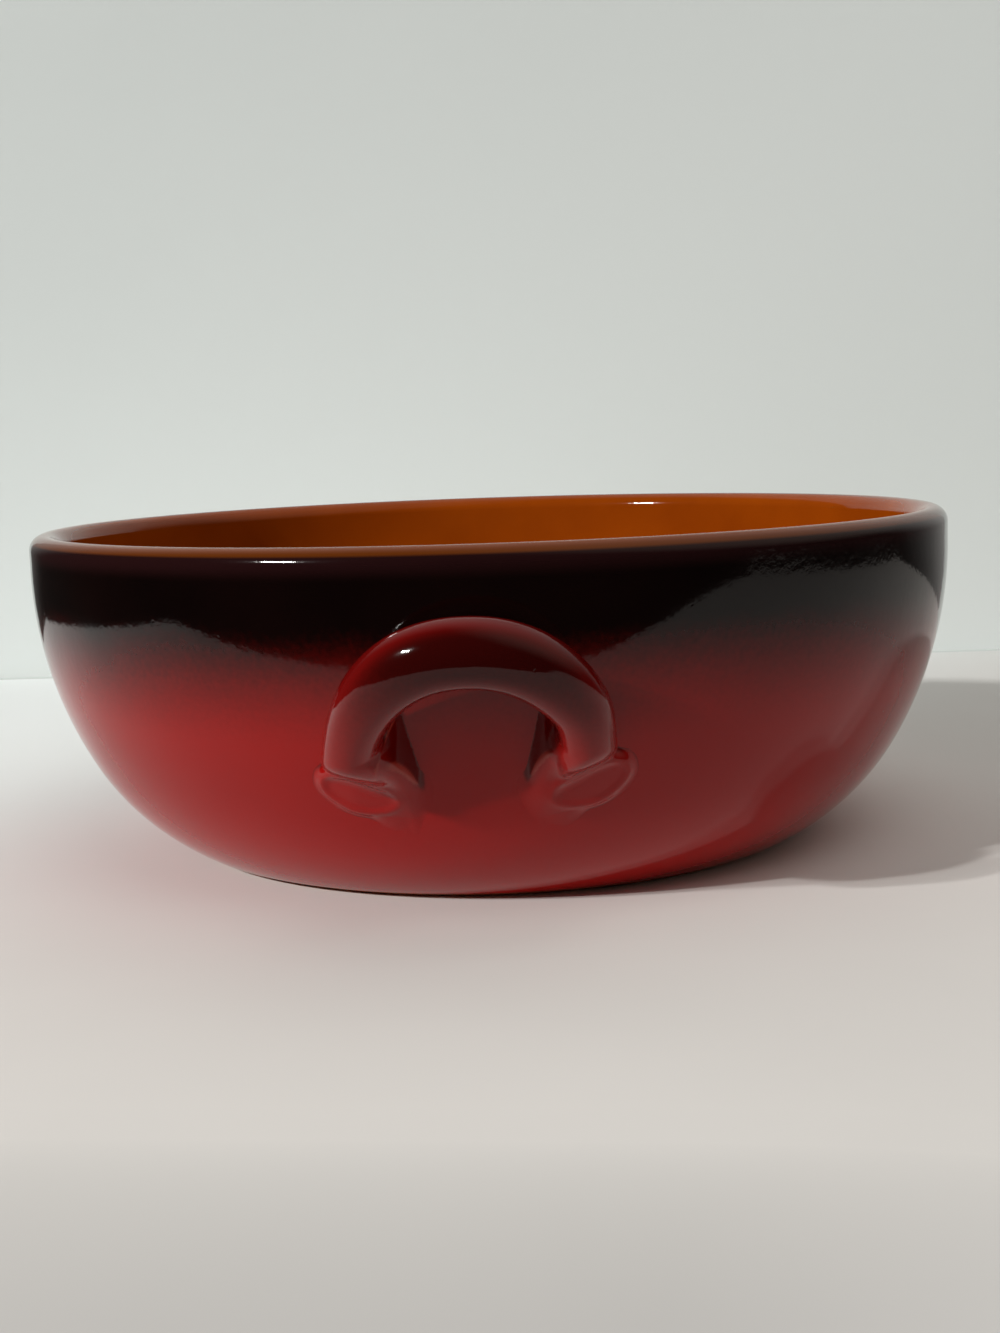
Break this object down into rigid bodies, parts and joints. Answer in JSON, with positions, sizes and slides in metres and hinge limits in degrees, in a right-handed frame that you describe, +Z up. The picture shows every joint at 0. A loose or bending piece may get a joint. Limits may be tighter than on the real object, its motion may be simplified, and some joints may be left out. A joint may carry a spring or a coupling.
{
  "type": "casserole dish",
  "caption": "Round glazed terracotta oven dish with a rounded lip, curved wall, flat unglazed foot and thumbed loop handles on opposite sides, for baking and serving.",
  "frame": {"origin": "middle of the foot, on the surface that the dish stands on", "axes": "+Z up along the axis of the bowl, -Y towards the front handle, +X to the right of someone who faces the front handle"},
  "size_m": [0.28, 0.3378, 0.098],
  "materials": {
    "terracotta": "matt unglazed earthenware",
    "amber_glaze": "gloss clear amber glaze over red clay",
    "red_glaze": "gloss transparent red glaze",
    "dark_glaze": "gloss near-black brown glaze"
  },
  "bodies": {
    "root": {"bowl_body": "terracotta", "lining_glaze": "amber_glaze", "red_glaze": "red_glaze", "dark_glaze": "dark_glaze", "front_handle": "red_glaze", "back_handle": "red_glaze", "front_left_slip": "red_glaze", "front_right_slip": "red_glaze", "back_left_slip": "red_glaze", "back_right_slip": "red_glaze"}
  },
  "joints": []
}
